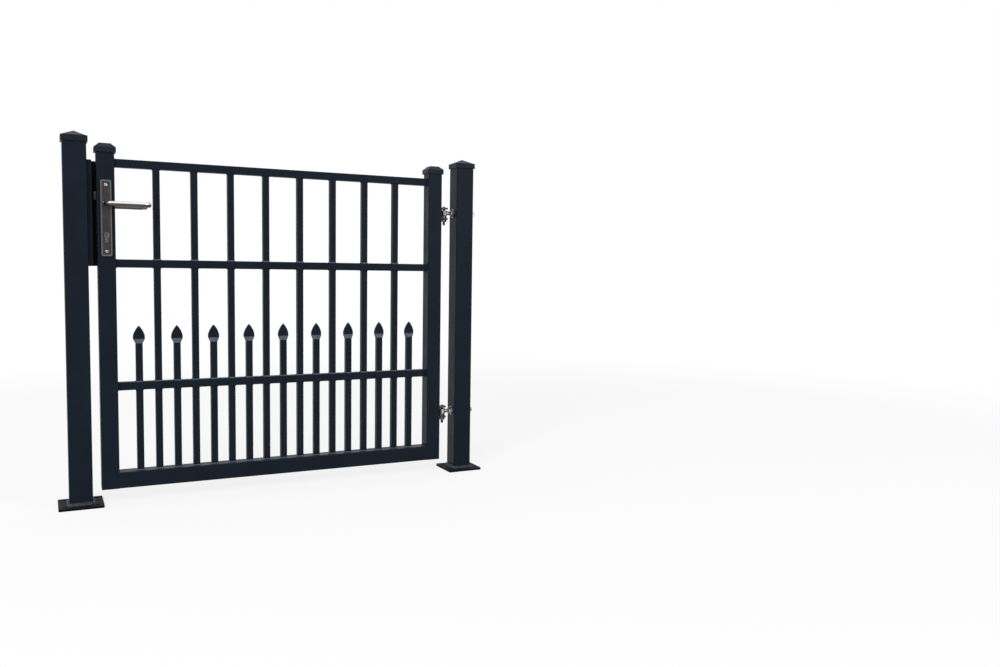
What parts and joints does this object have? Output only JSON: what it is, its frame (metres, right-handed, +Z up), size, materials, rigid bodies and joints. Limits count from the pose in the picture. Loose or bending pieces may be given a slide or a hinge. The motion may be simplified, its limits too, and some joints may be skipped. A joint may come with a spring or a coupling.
{
  "type": "single garden gate with posts",
  "caption": "Single swing garden gate of square tube with spear-tipped short bars, hung between two posts on base plates, with lever lock and adjustable pin hinges.",
  "frame": {"origin": "middle of the underside of the hinge post's base plate", "axes": "+X along the gate, from the leaf past the hinge post; +Y to the rear, away from the side the leaf opens to; +Z up"},
  "size_m": [1.385, 0.156, 1.122],
  "materials": {
    "powder_coat": "satin anthracite powder coat with a fine grain",
    "cap_plastic": "moulded anthracite plastic",
    "base_plate_zinc": "dull hot-dip zinc",
    "hinge_steel": "bright zinc-plated steel",
    "lock_stainless": "satin stainless steel",
    "lock_steel": "plated steel",
    "cylinder_nickel": "satin nickel on brass",
    "buffer_rubber": "black rubber"
  },
  "bodies": {
    "posts": {"hinge_post": "powder_coat", "hinge_post_cap": "cap_plastic", "hinge_post_base_plate": "base_plate_zinc", "latch_post": "powder_coat", "latch_post_cap": "cap_plastic", "latch_post_base_plate": "base_plate_zinc", "latch_keep": "powder_coat", "keep_buffer": "buffer_rubber", "upper_eyebolt": "hinge_steel", "upper_eyebolt_nuts": "hinge_steel", "lower_eyebolt": "hinge_steel", "lower_eyebolt_nuts": "hinge_steel"},
    "leaf": {"hinge_stile": "powder_coat", "latch_stile": "powder_coat", "hinge_stile_cap": "cap_plastic", "latch_stile_cap": "cap_plastic", "bottom_rail": "powder_coat", "lower_mid_rail": "powder_coat", "upper_mid_rail": "powder_coat", "top_rail": "powder_coat", "full_bar_1": "powder_coat", "full_bar_2": "powder_coat", "full_bar_3": "powder_coat", "full_bar_4": "powder_coat", "full_bar_5": "powder_coat", "full_bar_6": "powder_coat", "full_bar_7": "powder_coat", "full_bar_8": "powder_coat", "spear_bar_1": "powder_coat", "spear_bar_2": "powder_coat", "spear_bar_3": "powder_coat", "spear_bar_4": "powder_coat", "spear_bar_5": "powder_coat", "spear_bar_6": "powder_coat", "spear_bar_7": "powder_coat", "spear_bar_8": "powder_coat", "spear_bar_9": "powder_coat", "upper_hinge_fork": "hinge_steel", "upper_hinge_pin": "hinge_steel", "upper_hinge_pin_nuts": "hinge_steel", "lower_hinge_fork": "hinge_steel", "lower_hinge_pin": "hinge_steel", "lower_hinge_pin_nuts": "hinge_steel", "front_lock_cover": "lock_stainless", "rear_lock_cover": "lock_stainless", "lock_cylinder": "cylinder_nickel", "lock_case": "lock_steel", "lock_front_plate": "lock_steel"},
    "handle": {"front_lever": "lock_stainless", "rear_lever": "lock_stainless", "lever_spindle": "lock_steel"},
    "latch": {"latch_bolt": "lock_steel"}
  },
  "joints": [
    {"name": "gate_swing", "type": "hinge", "parent": "posts", "child": "leaf", "pos_m": [-0.068, 0, 0.5725], "axis": [0, 0, 1], "range_deg": [0, 90]},
    {"name": "lever_turn", "type": "hinge", "parent": "leaf", "child": "handle", "pos_m": [-1.177, 0, 0.91], "axis": [0, 1, 0], "range_deg": [0, 40], "stiffness_Nm_per_rad": 1.2, "springref_deg": -34.38},
    {"name": "latch_slide", "type": "slide", "parent": "leaf", "child": "latch", "axis": [1, 0, 0], "range_m": [0, 0.006]}
  ],
  "couplings": [
    {"joint": "latch_slide", "follows": "lever_turn", "m_per_rad": 0.0085}
  ]
}
